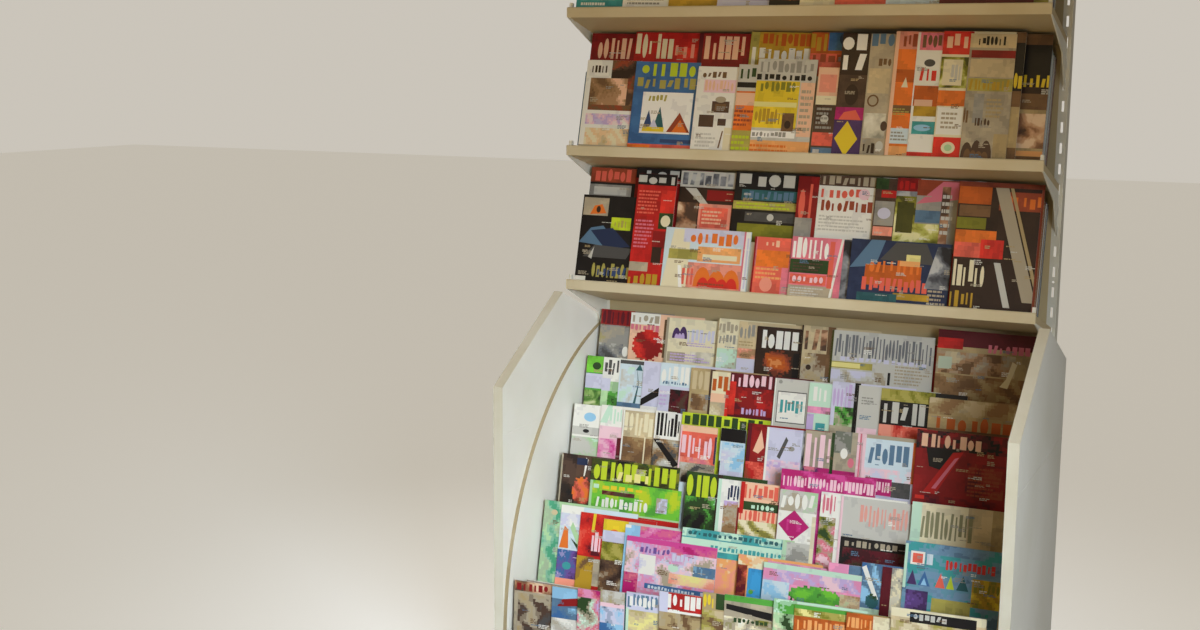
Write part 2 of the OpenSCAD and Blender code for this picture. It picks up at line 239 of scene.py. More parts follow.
def patches(x0, y0, x1, y1, tones, cell, rng, rise=0, focus=0):
    """Irregular cells over a rectangle, coloured by a soft random field.

    The field grows upwards by rise. With focus it grows towards the middle, and the outline is round.
    """
    columns, rows = max(1, round((x1 - x0) / cell)), max(1, round((y1 - y0) / cell))
    wide, tall = (x1 - x0) / columns, (y1 - y0) / rows
    waves = []
    for length in WAVE_LENGTHS:
        waves.append((rng.uniform(-1, 1) / length, rng.uniform(-1, 1) / length, rng.uniform(0, TURN)))
    phase = rng.uniform(0, TURN)

    def corner(i, j):
        """A corner of the grid, moved at random unless it lies on the edge."""
        right = SKEW * wide * rng.uniform(-1, 1) if 0 < i < columns else 0
        up = SKEW * tall * rng.uniform(-1, 1) if 0 < j < rows else 0
        return x0 + wide * i + right, y0 + tall * j + up

    grid = [[corner(i, j) for i in range(columns + 1)] for j in range(rows + 1)]
    for j in range(rows):
        for i in range(columns):
            across, upward = (i + 0.5) / columns, (j + 0.5) / rows
            off_middle = math.hypot(2 * across - 1, 2 * upward - 1)
            if focus and off_middle > EDGE_AT + EDGE_PLAY * rng.random():
                continue
            x, y = x0 + across * (x1 - x0), y0 + upward * (y1 - y0)
            side, up = BEND * math.sin(y / BEND_SIDE + phase), BEND * math.sin(x / BEND_UP - phase)
            x, y = x + side, y + up
            field = 0.5 + WAVE_HEIGHT * sum(math.sin(a * x + b * y + c) for a, b, c in waves)
            field += rng.uniform(-SPECKLE, SPECKLE)
            far = math.hypot(across - 0.5, upward - 0.5)
            field += rise * (upward - 0.5) + focus * (0.5 - FOCUS_FALL * far)
            tone = max(0, min(len(tones) - 1, int(field * len(tones))))
            yield [grid[j][i], grid[j][i + 1], grid[j + 1][i + 1], grid[j + 1][i]], tones[tone]


def blended(tones):
    """Tones with the halfway colours between them."""
    out = tones[:1]
    for a, b in zip(tones, tones[1:]):
        out += [a + "+" + b, b] if a != b else [b]
    return out


MOTTLE_CELL = 8    # mm


def mottle(x0, y0, x1, y1, colour, rng):
    """A printed colour with its faint unevenness."""
    shades = ("~b", "", "", "") if colour in LIGHT else ("~a", "~b", "", "", "~c", "~d")
    return patches(x0, y0, x1, y1, [colour + shade for shade in shades], MOTTLE_CELL, rng)


WORD = (3, 11)        # mm, range of a word's width
WORD_GAP = (1.2, 2)


def words(x0, x1, low, high, colour, rng):
    """A line of text too small to read: dashes with gaps."""
    x = x0
    while x < x1 - WORD_GAP[1]:
        end = min(x1, x + rng.uniform(*WORD))
        yield oblong(x, low, end, high), colour
        x = end + rng.uniform(*WORD_GAP)


# Marks on a cover

# Their places are percentages of the part of the cover that shows, from 0 at the left and at the foot to
# 100, or past that where a mark runs off the edge. Each gives outlines in mm with their colours.
OFF_EDGE = 110
EVEN_SIZE = 13    # mm, the size up to which a box is one even colour


class Page:
    """The part of a cover that shows, measured in mm from the cover's lower left corner."""

    def __init__(self, width, depth, height, rng):
        self.width, self.depth, self.height, self.rng = width, depth, height, rng

    def x(self, percent):
        return percent / 100 * self.width

    def y(self, percent):
        return self.height - self.depth + percent / 100 * self.depth

    def foot(self, percent):
        """Like y, but a mark that starts at the foot runs on down to the cover's lower edge."""
        return self.y(percent) if percent > 0 else 0

    def sides(self, left, low, right, high):
        return self.x(left), self.y(low), self.x(right), self.y(high)


def box(page, left, low, right, high, colour):
    """box left low right high colour: a rectangle."""
    x0, x1 = page.x(left), page.x(right)
    y0, y1 = page.foot(low), page.y(high)
    if colour in HUES and x1 - x0 > EVEN_SIZE and y1 - y0 > EVEN_SIZE:
        yield from mottle(x0, y0, x1, y1, colour, page.rng)
    else:
        yield oblong(x0, y0, x1, y1), colour


def band(page, low, high, colour):
    """band low high colour: a rectangle across the whole width."""
    return box(page, 0, low, OFF_EDGE, high, colour)


def column(page, left, right, colour):
    """column left right colour: a rectangle over the whole height."""
    return box(page, left, 0, right, 100, colour)


def mosaic(page, left, low, right, high, tones, cell=5, rise=0, focus=0):
    """mosaic left low right high tones cell rise focus: a picture of small patches."""
    foot = page.y(low) if focus else page.foot(low)
    tones = blended(tones.split("/"))
    return patches(page.x(left), foot, page.x(right), page.y(high), tones, cell, page.rng, rise, focus)


def strip(page, low, high, tones, cell=5):
    """strip low high tones cell: a mosaic across the whole width."""
    return mosaic(page, 0, low, OFF_EDGE, high, tones, cell)


def shape(page, colour, *places):
    """shape colour x y x y x y: a convex polygon."""
    points = [(page.x(x), page.y(y)) for x, y in zip(places[::2], places[1::2])]
    area = sum(a[0] * b[1] - b[0] * a[1] for a, b in zip(points, points[1:] + points[:1]))
    yield (points if area > 0 else points[::-1]), colour


DISC_CORNERS, SIGN_CORNERS = 20, 12


def disc(page, x, y, wide, colour, tall=None):
    """disc x y wide colour tall: an ellipse by its half width and half height in mm."""
    yield ellipse(page.x(x), page.y(y), wide, tall or wide, DISC_CORNERS), colour


HILL_LOW, HILL_PLAY = 0.7, 0.3    # least height of a hill and its play, as shares of the mark's height
HILL_HALF = 0.62                  # half width of a hill, as a share of the distance between hills


def hills(page, left, low, right, high, colour, count=3):
    """hills left low right high colour count: rounded hills of unequal height."""
    x0, y0, x1, y1 = page.sides(left, low, right, high)
    step = (x1 - x0) / count
    for k in range(int(count)):
        top = y0 + (y1 - y0) * (HILL_LOW + HILL_PLAY * page.rng.random())
        yield arch(x0 + (k + 0.5) * step, y0, HILL_HALF * step, top - y0), colour


LINE_SHORT, LINE_PLAY = 0.62, 0.38    # least length of a line and its play, as shares of the width
LINE_FOOT, LINE_TALL = 0.22, 0.5      # air below a line and its height, as shares of the lines' distance


def lines(page, left, low, right, high, colour, count=4):
    """lines left low right high colour count: small print in lines of unequal length."""
    x0, y0, x1, y1 = page.sides(left, low, right, high)
    step = (y1 - y0) / count
    for k in range(int(count)):
        end = x0 + (x1 - x0) * (LINE_SHORT + LINE_PLAY * page.rng.random())
        foot = y0 + k * step + LINE_FOOT * step
        yield from words(x0, end, foot, foot + LINE_TALL * step, colour, page.rng)


SIGN_WIDE, SIGN_PLAY = 0.68, 0.16       # least width of a sign and its play, as shares of its cell
RAISED, RAISED_SHARE = 0.18, 0.25       # how much higher some signs start, and how many do
CUT, CUT_SHARE = 0.2, 0.3               # how much lower some end, and how many do
BARS, LEANING, DISCS = 0.4, 0.6, 0.8    # random numbers below these make bars, leaning bars and discs
LEAN = 0.35                             # how far a leaning bar leans, as a share of its width
THIN_PLACES = (0.1, 0.3)                # where a thin bar starts in an even and in an odd cell
THIN_WIDE, THIN_CUT = 0.45, 0.1         # its width, and how much lower it ends


def title(page, left, low, right, high, colour, count=6):
    """title left low right high colour count: a headline of bars, leaning bars and discs, not letters."""
    rng = page.rng
    x0, y0, x1, y1 = page.sides(left, low, right, high)
    cell, tall = (x1 - x0) / count, y1 - y0
    for k in range(int(count)):
        start = x0 + k * cell
        wide = cell * (SIGN_WIDE + SIGN_PLAY * rng.random())
        foot = y0 + (RAISED * tall if rng.random() < RAISED_SHARE else 0)
        head = y1 - (CUT * tall if rng.random() < CUT_SHARE else 0)
        form = rng.random()
        if form < BARS:
            outline = oblong(start, foot, start + wide, head)
        elif form < LEANING:
            lean = wide * (LEAN if rng.random() < 0.5 else -LEAN)
            outline = [(start + max(0, -lean), foot), (start + wide + min(0, -lean), foot),
                       (start + wide, head), (start + abs(lean), head)]
        elif form < DISCS:
            middle, half = (foot + head) / 2, (head - foot) / 2
            outline = ellipse(start + wide / 2, middle, wide / 2, half, SIGN_CORNERS)
        else:
            bar = start + THIN_PLACES[k % 2] * wide
            outline = oblong(bar, foot, bar + wide * THIN_WIDE, head - THIN_CUT * tall)
        yield outline, colour


PALE_INKS = ["stone", "sand", "silver"]
MIXED_INKS = ["grey", "stone", "brown", "steel", "paper"]
CAPTION_AREA = 2600            # square mm of cover for each caption
CAPTION_REACH = 160            # mm, more height than this brings no more captions
CAPTION_WIDTH = (12, 34)
CAPTION_HEIGHT = (1.3, 2.6)    # height of a line
CAPTION_LEFT = 3               # mm, a caption starts at least this far from the left edge
CAPTION_ROOM = 10              # mm, and this far from the right one
CAPTION_FOOT = 4               # mm, its first line is at least this far above the foot
CAPTION_TOP = 0.22             # the share of the height that it leaves to a title
CAPTION_PAST = 4               # mm, its lines end at most this far behind the next copy
LINE_PITCH = 1.7               # distance of the lines, as a multiple of their height


def small_print(page, ground):
    """Scattered captions of one to three short lines."""
    rng = page.rng
    for _ in range(int(page.width * min(page.depth, CAPTION_REACH) / CAPTION_AREA)):
        colour = rng.choice(PALE_INKS if ground in DARK else MIXED_INKS)
        wide = rng.uniform(*CAPTION_WIDTH)
        x = rng.uniform(CAPTION_LEFT, max(CAPTION_LEFT + 1, page.width - CAPTION_ROOM))
        y = rng.uniform(page.y(0) + CAPTION_FOOT, page.height - CAPTION_TOP * page.depth)
        tall = rng.uniform(*CAPTION_HEIGHT)
        for k in range(rng.randint(1, 3)):
            end = min(x + wide * rng.uniform(0.6, 1), page.width + CAPTION_PAST)
            foot = y - k * tall * LINE_PITCH
            yield from words(x, end, foot, foot + tall, colour, rng)


# Written covers

# A cover is its ground, the height in mm that shows unless all of it does, and its back's colour unless
# that is grey. After a colon come its marks, the lowest first, as the first lines of their functions say,
# where the last values may be left out. A slash divides the tones of a mosaic. A semicolon ends the cover.
MARKS = (box, band, column, mosaic, strip, shape, disc, hills, lines, title)
MARK_NAMED = {mark.__name__: mark for mark in MARKS}
NUMBER_STARTS = "-.0123456789"
Cover = namedtuple("Cover", "ground depth back marks")
covers = {}


def read_values(text):
    """The words and numbers of a text."""
    return [float(word) if word[0] in NUMBER_STARTS else word for word in text.split()]


def read_cover(written, ground, depth=0, back="grey"):
    """A cover from its written marks and what its head says."""
    marks = [read_values(mark) for mark in written.split(",") if mark.strip()]
    return Cover(ground, depth, back, [(MARK_NAMED[kind], given) for kind, *given in marks])


def row(node, group, text):
    """The covers of one row of copies in a node, from left to right."""
    for entry in filter(str.strip, text.split(";")):
        head, _, written = entry.partition(":")
        found = read_cover(written, *read_values(head))
        covers.setdefault(node, {}).setdefault(group, []).append(found)


row("magazines_shelf_middle", "front", """
  paper: title 10 86 42 94 umber 5, mosaic 50 68 106 102 umber/cocoa/rust/brown,
    mosaic 10 50 84 80 brown/hazel/tan/tan/peach, box 84 50 110 68 clay,
    mosaic 10 44 106 50 rust/brown/rust, mosaic 8 28 100 40 lavender/lilac/blush/paper,
    mosaic 10 5 100 24 beige+mustard/beige/apricot+cream/cream 6, band 0 5 stone;
  blue: band 0 8 coral, box 0 0 35 7 orange, title 10 84 98 99 lime, title 5 70 98 82 khaki 8,
    box 16 20 94 66 white, title 25 56 55 63 khaki 5, shape indigo 20 24 36 24 28 46,
    shape petrol 36 24 54 24 45 50, shape lavender 28 24 46 24 37 36, box 20 22 54 27 yellow,
    shape rust 58 22 94 22 76 44, shape orange 66 22 90 22 78 36, box 5 10 110 19 blue,
    box 50 10 110 14 indigo;
  paper: title 12 87 72 94 brown 5, box 18 70 95 85 blush, title 20 72 92 84 peach 8, box 14 30 50 44 cocoa,
    box 42 47 84 60 cocoa, box 50 50 76 57 brown, box 60 32 80 40 cocoa, disc 62 62 14 stone 8,
    lines 10 6 60 24 silver, shape brown 66 6 70 6 76 26 73 26, box 78 0 110 30 cream, band 0 4 peach;
  orange 225: band 0 26 khaki, lines 0 3 100 22 lime 3, band 70 100 silver, title 10 84 100 96 forest 3,
    band 74 80 black, band 54 68 peach, lines 0 30 100 50 rust;
  silver: title 4 86 96 98 grey 9, title 0 78 96 84 black 9, box 0 28 74 77 yellow,
    title 6 66 70 76 olive 7, box 0 50 72 55 straw, title 3 32 50 48 mustard 7, box 50 24 70 44 brown,
    disc 60 32 8 umber 10, box 76 20 110 76 peach, lines 78 25 100 70 stone 7, box 0 18 74 25 white,
    title 2 19 60 24 grey 9, band 0 15 apricot, lines 0 2 100 12 orange 2;
  cocoa: band 66 100 peach, box 10 72 90 92 salmon, band 58 68 cream, disc 50 42 10 silver,
    lines 10 30 90 56 grey 5, band 12 27 coral, band 0 10 steel, box 10 2 40 8 silver;
  umber: title 2 86 100 99 white 2, title 5 70 100 83 white 2, band 36 66 cocoa, disc 50 50 16 umber 26,
    band 27 40 magenta, shape coral 5 27 100 27 70 38 30 36, band 0 30 purple,
    shape yellow 46 1 86 15 46 29 6 15;
  stone: title 5 90 100 100 steel 3, title 40 74 95 80 brown 3, box 5 52 90 72 beige,
    disc 32 46 14 brown 15, disc 32 46 10 stone 11, box 5 16 90 36 linen, disc 85 26 8 cocoa 12,
    title 10 4 60 12 umber 3, disc 75 10 9 silver 12;
  orange: column 0 17 peach, box 17 86 110 100 salmon, title 30 88 100 98 rust 3, box 17 60 110 70 copper,
    shape cream 45 56 75 56 62 64, box 17 36 110 42 brown, lines 20 34 100 40 khaki 3, box 17 12 110 24 ice,
    lines 20 14 100 22 grey 3, box 17 0 110 10 apricot;
  paper: box 10 86 110 100 rose, title 20 88 100 98 brown 4, disc 55 76 13 coal 9,
    title 20 62 90 72 scarlet 3, box 5 42 110 58 copper, box 10 42 80 47 peach, box 10 34 110 42 mustard,
    box 10 20 110 30 teal, disc 50 25 20 sky 8, box 5 6 110 19 paper, band 0 6 scarlet;
  cream: band 82 100 scarlet, title 15 87 95 98 peach 3, band 56 80 meadow, box 10 58 80 78 cream,
    title 40 62 80 74 silver 3, band 42 54 orange, box 5 20 110 41 paper, lines 20 24 90 38 stone,
    band 0 18 scarlet, disc 55 10 16 cream 14, disc 55 10 9 sage 8, box 260 54 320 100 black,
    box 260 92 320 100 brown, title 266 57 298 69 yellow 2, box 260 43 320 55 brown, box 260 12 320 43 sand,
    box 260 0 320 12 brown;
  stone: box 0 89 120 100 beige, title 18 91 78 98 black 7, box 5 81 120 87 wine, box 5 66 120 80 beige,
    box 3 55 120 65 khaki, title 6 56 95 64 mustard 9, box 20 30 42 53 grey, lines 48 34 95 50 sand 5,
    title 0 30 12 42 brown 2, title 25 28 60 34 cocoa 5, hills 4 3 66 17 cocoa, hills 10 3 60 10 brown 4,
    box 70 2 120 22 sand;
""")
row("magazines_shelf_middle", "rear", """
  wine 78: title 16 14 94 84 peach;
  red 78: title 2 12 62 95 cream, box 66 10 96 50 scarlet, title 62 16 95 62 salmon 3;
  wine 78: title 12 14 92 90 peach, column 0 8 maroon;
  mustard 78: column 0 14 khaki, box 4 0 10 50 paper, title 20 55 100 95 copper 8,
    title 16 8 100 48 paper 7;
  copper 78: title 0 40 35 95 mustard 3, box 36 42 110 100 blue, disc 70 80 14 indigo 16, band 0 32 coral,
    title 5 5 90 30 rust 5;
  rust 78;
  grey 78;
  black: box 0 92 130 100 brown, box 0 54 130 86 black, title 50 56 104 69 yellow 8, box 0 55 130 60 umber,
    box 0 43 130 55 brown, box 0 12 130 43 sand, box 50 14 120 40 clay, box 0 8 130 12 apricot,
    box 0 0 130 8 brown;
""")
row("magazines_shelf_lower", "front", """
  black: box 2 77 48 97 stone, shape orange 15 78 45 80 36 90 22 88, disc 30 84 6 umber 9,
    box 56 62 92 76 lime, title 62 65 86 73 khaki 4, shape steel 0 46 20 63 42 66 66 50 50 43,
    shape navy 20 60 60 64 95 44 50 40, shape coal 10 30 90 30 100 42 30 44, title 30 8 100 24 khaki 8,
    title 40 10 95 20 indigo, shape silver 20 30 30 42 27 28, box 0 0 20 8 paper;
  red: box -10 90 160 100 black, title 0 91 120 98.5 silver 4, lines 5 64 70 86 coral 7,
    box 72 66 130 86 scarlet, lines 5 34 60 60 rose 8, box 72 52 130 66 forest, disc 92 59 13 cream 15,
    box 60 35 130 50 wine, box 62 16 90 36 umber, box 0 14 55 22 stone, box 62 10 130 22 red,
    title 0 0 90 12 mustard 5;
  ice: shape cream 0 0 10 98 30 98 30 0, box 22 78 92 100 lavender, title 30 75 88 94 orange 7,
    box 6 50 40 66 khaki, box 40 48 90 72 apricot, box 46 52 86 60 cream, box 30 6 92 46 salmon,
    hills 40 8 90 42 orange, hills 44 8 88 26 scarlet 4, lines 44 10 88 16 rust 1,
    title 24 10 38 36 coral 3, shape white 22 0 26 0 22 40 18 40, box 26 0 93 6 clay, column 92 94 rose,
    column 94 99 paper, box 96 10 98 90 lavender;
  rose: box 8 50 95 78 orange, box 8 78 95 100 coral, title 30 84 70 95 peach 3, box 5 0 78 50 coral,
    lines 10 28 90 50 apricot 3, disc 40 20 16 salmon 18, box 78 0 110 40 rose, column 0 5 wine;
  rose: title 0 66 64 99 white 7, box 0 42 70 64 forest, lines 5 45 66 60 cocoa 3, box 2 24 62 40 coral,
    title 6 27 60 37 blush, box 0 0 75 22 stone, lines 5 3 60 20 silver,
    shape paper 68 0 72 0 86 100 82 100, column 86 110 slate, box 64 20 72 95 coral;
  navy: shape steel 0 55 20 100 34 100 26 60, shape coal 30 70 45 98 75 98 85 66, box 16 30 72 62 copper,
    title 20 50 72 70 orange 8, title 14 22 80 42 coral 11, box 56 70 70 80 straw, box 50 62 70 70 apricot,
    box 46 10 82 20 mustard, box 10 4 50 18 petrol, shape slate 76 30 100 30 100 95 86 95,
    lines 80 5 100 30 stone, box 0 0 100 5 petrol;
  umber: box 0 86 40 100 copper, box 2 76 40 85 brown, box 0 66 36 75 olive, box 0 52 50 65 orange,
    box 0 43 55 55 coral, box 32 43 60 58 scarlet, title 0 20 42 41 cream, title 0 3 32 16 mustard 5,
    box 50 82 110 97 rust, title 50 84 105 94 orange, shape stone 44 100 60 100 104 10 88 10,
    shape sand 62 100 66 100 110 10 106 10, shape silver 50 40 58 40 74 5 66 5;
""")
row("magazines_shelf_lower", "rear", """
  black 150: band 74 100 rust, title 10 76 90 98 coral, box 0 48 90 70 grey, box 10 52 80 66 silver,
    band 0 46 black;
  wine 150: band 82 100 black, title 20 84 100 97 silver 3, lines 10 10 90 74 coral 9;
  umber 150: band 72 100 silver, title 4 76 98 97 slate 7, shape silver 10 70 30 70 55 42 42 42,
    box 50 50 110 68 wine, box 0 0 36 45 clay, box 38 0 96 44 salmon, box 42 3 90 38 coral,
    lines 45 8 88 34 peach;
  black 150: title 6 76 98 97 silver 4, box 12 52 98 70 petrol, title 15 54 95 68 steel 9, band 36 50 khaki,
    lines 5 37 100 49 lime 2, box 20 16 110 32 coal, disc 60 24 9 silver, box 10 0 110 12 olive;
  wine 150: title 10 10 90 96 coral 2, box 0 0 80 30 grey;
  paper 150: band 82 100 cocoa, title 5 84 100 99 stone 8, title 4 62 90 78 coral 7,
    title 4 40 98 58 rust 9, lines 5 6 95 34 silver 5, disc 80 70 14 blush;
  cocoa 150: box 0 82 60 100 forest, box 30 68 110 80 red, box 5 22 95 62 grey, disc 50 42 16 lavender 14,
    box 5 5 95 20 salmon;
  slate 150: band 78 100 wine, title 10 80 90 95 red 3, band 0 70 meadow, box 10 10 90 60 moss;
  grey 150: band 74 100 rust, shape rose 0 60 60 98 100 98 100 70, box 0 30 60 50 steel,
    box 0 0 60 28 meadow, box 60 0 80 90 clay, lines 62 10 90 80 silver 6;
  rust 150;
""")
row("magazines_shelf_top", "front", """
  teal: title 8 84 92 96 paper 5, box 10 20 90 76 water, disc 50 48 30 cream 18, lines 10 4 80 14 paper 2;
  paper: title 8 84 92 95 wine, disc 50 50 34 berries 26, lines 10 6 90 24 grey;
  mustard: title 8 82 92 95 umber 5, box 12 16 88 74 clay, disc 50 42 24 cream;
  lavender: title 8 84 92 95 purple, hills 5 10 95 60 violet, disc 30 66 10 straw;
  black: title 5 84 95 96 cream 4, box 5 30 95 76 slate, box 5 8 95 24 orange;
  cream: title 10 86 90 95 forest 4, box 10 30 90 80 garden, lines 10 6 80 22 olive 3;
  coral: title 8 82 92 95 paper, box 12 18 88 72 paper, disc 50 45 28 orange 20, disc 50 60 5 forest;
  ice: title 8 84 92 95 indigo, hills 5 12 95 60 steel 2, hills 5 12 95 42 forest 4;
  maroon: title 8 86 92 96 apricot 7, box 8 28 92 80 dusk, lines 10 6 80 20 peach;
""")
row("magazines_shelf_top", "rear", """
  blue 80: title 6 20 94 80 paper;
  orange 80: title 6 20 94 80 cream 5;
  paper 80: title 6 20 94 75 red;
  forest 80: title 6 20 94 80 lime;
  blush 80: title 6 20 94 75 magenta;
  grey 80: title 6 20 94 75 black;
  red 80: title 6 20 94 80 peach 5;
  cream 80: title 6 20 94 75 brown;
  navy 80: title 6 20 94 80 sky 5;
  khaki 80: title 6 20 94 80 moss 7;
""")
row("magazines_tier_1", "fan", """
  grey 132: band 68 100 wine, title 5 70 95 98 maroon, mosaic 0 30 80 66 grey/stone/khaki 6,
    mosaic 0 0 80 30 coal/fog/grey/silver, disc 88 15 9 paper 14;
  peach 129: box 0 76 80 100 paper, title 4 80 80 96 stone 5, title 2 62 80 76 rose 7,
    mosaic 10 0 92 66 wine/red/scarlet/coral/salmon 5 .2 .2, box 92 10 100 90 brown;
  cream 123: hills 14 56 40 84 purple 2, hills 18 56 36 70 lilac, title 42 50 95 78 lavender 7,
    lines 42 40 95 50 lilac 2, box 6 5 40 26 stone, box 50 5 90 30 linen, lines 12 6 90 25 lilac 3,
    column 0 5 stone;
  cream 132: title 5 72 95 94 stone 5, title 10 50 90 68 grey 5, strip 0 40 stone/mint/ice 6,
    column 0 5 sand;
  beige 132: title 5 66 90 94 grey 4, strip 26 46 tan/salmon/peach, band 0 26 lavender,
    lines 5 50 90 62 sand 2;
  umber 128: mosaic 18 0 84 54 umber/rust/copper/apricot 5 0 .5, title 8 56 96 93 paper 5,
    box 84 0 110 50 black;
  beige 142: title 10 56 90 94 clay 3, strip 0 50 brown/stone/sand/beige 6, disc 30 24 7 umber,
    column 0 5 umber, column 85 110 brown;
  silver 132: title 4 50 50 93 fog 14, title 50 46 98 90 fog 15, title 10 42 95 50 lavender 14,
    box 0 27 42 40 khaki, box 2 29 30 38 straw, mosaic 0 0 56 24 stone/silver/lavender 6,
    box 57.5 2 60 26 black, lines 64 4 98 42 stone 6, column 0 2 moss;
  sand 168: band 76 100 maroon, box 0 72 26 88 red, title 50 70 95 82 rose 7,
    mosaic 0 36 80 68 brown/tan/stone/beige 7, box 2 42 16 60 mint+stone, strip 0 34 brown/hazel/sand 7,
    shape cream 66 22 74 20 82 56 77 60 72 34;
""")
row("magazines_tier_2", "fan", """
  green 132: band 66 100 grass, disc 60 80 12 forest 10, band 34 64 lavender, band 0 30 garden;
  paper 129: title 10 64 95 95 coal 4, band 0 50 sage, box 0 30 50 56 lavender,
    mosaic 40 0 110 30 forest/green/sage 4;
  ice 126: band 92 100 coal, shape petrol 66 10 76 10 84 50 70 90 80 50, shape petrol 66 80 96 80 82 94,
    mosaic 6 10 62 86 silver/ice/mint 6, band 0 10 steel;
  lavender 126: band 40 100 lavender, shape black 0 5 100 30 100 48 0 20, band 0 6 paper;
  lavender 127: band 52 100 ice, title 4 58 98 94 paper 5, title 10 56 90 62 steel 9,
    mosaic 36 0 110 46 black/black/maroon/cocoa, lines 4 10 30 44 lilac;
  sand 117: title 10 52 90 94 beige 3, mosaic 10 6 86 42 brown/hazel/stone, column 88 110 cocoa;
  cream 114: title 5 56 95 90 copper 3, band 30 50 peach, mosaic 0 0 80 30 stone/beige/cream,
    box 80 0 110 60 scarlet;
  maroon 114: title 2 70 95 98 blush 7, mosaic 4 6 98 68 maroon/wine/wine/red 7, title 30 8 86 22 lilac 7,
    box 0 4 14 80 scarlet;
  silver 123: box 10 8 94 74 coal, box 12 10 92 72 paper, title 20 30 86 56 teal, disc 16 93 5 grey,
    column 0 4 paper;
  mint 120: title 20 62 80 92 paper 3, band 36 50 pink, box 30 0 90 34 mint, box 0 0 30 34 lilac,
    box 40 0 80 16 teal;
  lavender 126: title 5 50 80 96 lilac 5, mosaic 16 12 96 50 forest/green/stone/sage, band 0 12 stone,
    column 88 110 black;
  silver 120: box 5 10 110 100 silver, lines 20 60 74 78 grey 3, column 0 6 black, box 10 0 90 12 blush;
  black 114: strip 74 102 moss/olive/khaki, title 6 26 98 72 silver 5, strip 0 22 red/coral/salmon 6;
  sand 81: strip 50 100 hazel/sand/beige 7, title 8 0 96 50 copper 8, band 0 8 brown;
""")
row("magazines_tier_3", "fan", """
  paper 135: disc 60 76 17 sky 12, band 40 56 silver, disc 50 48 9 black 5,
    strip 0 36 sage/mint/sage/silver;
  paper 138: shape mint 0 66 30 100 50 100 30 66, title 40 66 95 94 mint 4, band 36 60 blush,
    mosaic 0 0 80 36 candy/pink/blush, box 80 0 110 40 maroon;
  beige 132: title 6 52 95 96 cream, strip 0 48 brown/hazel/sand 6, box 70 0 74 50 cream, column 0 5 paper;
  paper 141: title 8 56 98 98 black 7, strip 0 50 coal/hazel/stone/silver,
    shape black 0 48 20 50 100 6 80 0;
  khaki 33: column 0 200 lime, title 4 8 190 92 forest 16;
  wine 138: column 0 20 maroon, shape peach 34 50 62 46 90 58 70 90, strip 0 30 rust/red/coral 4;
  lavender 144: shape coal 30 50 38 46 56 80 50 86, disc 66 66 8 grey 6,
    mosaic 0 0 90 44 lavender/blush/lilac/paper 6, column 0 6 paper, column 92 110 slate;
  stone 102: title 4 12 96 92 blush 4, strip 0 12 magenta/purple/rose 4, column 88 110 forest;
  stone 108: mosaic 0 50 60 100 forest/grey/stone, disc 36 50 9 paper 13, disc 62 30 8 rose 12,
    column 80 110 blush, column 88 94 rose, box 0 0 80 10 magenta;
  ice 144: title 12 58 90 92 steel, strip 30 50 lavender/blush/ice 6, band 0 30 lavender,
    box 94 30 110 100 copper, box 10 5 60 34 magenta, title 14 11 58 28 blush 8, box 60 4 95 30 coal,
    column 0 6 blush;
  wine 174: strip 74 102 maroon/black/wine 7, title 5 77 64 95 peach 8, box 3 4 50 9 scarlet,
    mosaic 50 14 86 60 maroon/wine/rust 6, lines 52 14 84 56 rust 8, shape black 10 76 44 76 32 44 14 50,
    shape red 36 72 46 74 22 12 10 14, shape rose 38 64 42 66 22 20 18 20, mosaic 12 0 80 10 maroon/wine 6,
    box 94 0 110 90 rust;
""")
row("magazines_tier_3", "flat", """
  coral 117: band 86 100 peach, title 6 30 92 78 blush, strip 18 30 coral/salmon/rose,
    strip 0 18 coal/stone/silver 4, column 0 4 blush, box 95 20 110 80 navy;
  ice 120: band 72 100 black, mosaic 8 10 110 70 sky/ice/lavender/paper 6 -.3, band 0 10 lavender,
    box 0 0 6 30 black;
""")
row("magazines_tier_4", "fan", """
  cocoa 129: mosaic 0 0 50 100 black/umber/cocoa 6, shape paper 74 58 78 58 86 92 78 96,
    box 50 80 84 94 navy, mosaic 42 0 106 56 maroon/rust/coral/orange 4 .8 .25, column 0 5 stone;
  moss 57: strip 0 102 black/moss/forest/olive, title 3 6 98 90 lime 11, title 30 10 70 50 straw 4;
  forest 141: title 2 56 98 95 lime 4, strip 34 56 forest/green/mint 4,
    strip 0 36 black/forest/forest/green, column 93 110 umber;
  paper 132: title 40 62 96 90 navy 4, mosaic 30 0 92 60 hazel/stone/tan/lilac 4, column 0 14 mint,
    box 90 0 110 50 wine;
  peach 132: title 5 70 98 96 coral 7, band 48 64 forest, title 30 50 90 60 mint 5,
    title 2 28 95 48 coral 8, strip 0 28 moss/khaki/cream, box 0 40 10 100 red;
  magenta 51: mosaic 0 0 240 102 magenta/magenta/candy 6, title 5 20 236 72 blush 27;
  paper 178: title 10 70 80 98 rose 4, mosaic 0 0 80 66 forest/olive/stone/rose/blush 4,
    column 82 110 paper;
  silver 156: title 28 58 96 90 rose+peach 12, box 4 0 110 38 black, title 10 24 85 34 stone 9,
    mosaic 8 0 110 22 black/maroon/cocoa/forest 4, column 0 3.5 blush;
  cream 93: column 56 110 beige, column 80 110 sand, title 10 12 62 80 olive+grey 11, column 0 10 mint;
""")
row("magazines_tier_4", "flat", """
  grass 90: strip 4 102 green/grass/grass/lime 7, band 0 10 red, band 10 15 sage,
    title 14 78 60 90 yellow 5, mosaic 14 62 50 74 cocoa/maroon/brown 4, box 4 78 10 90 mint,
    title 8 26 66 54 paper 11, mosaic 74 30 86 72 grey/lavender/stone 4, column 0 3 sage;
  paper 171: strip 70 102 stone/silver/sage, title 4 74 96 96 paper 5, shape magenta 42 28 84 50 42 72 2 50,
    mosaic 24 42 62 58 magenta/magenta/candy, mosaic 0 0 50 28 forest/sage/mint,
    mosaic 30 0 90 26 grey/silver/lilac, box 90 0 110 66 cream;
""")
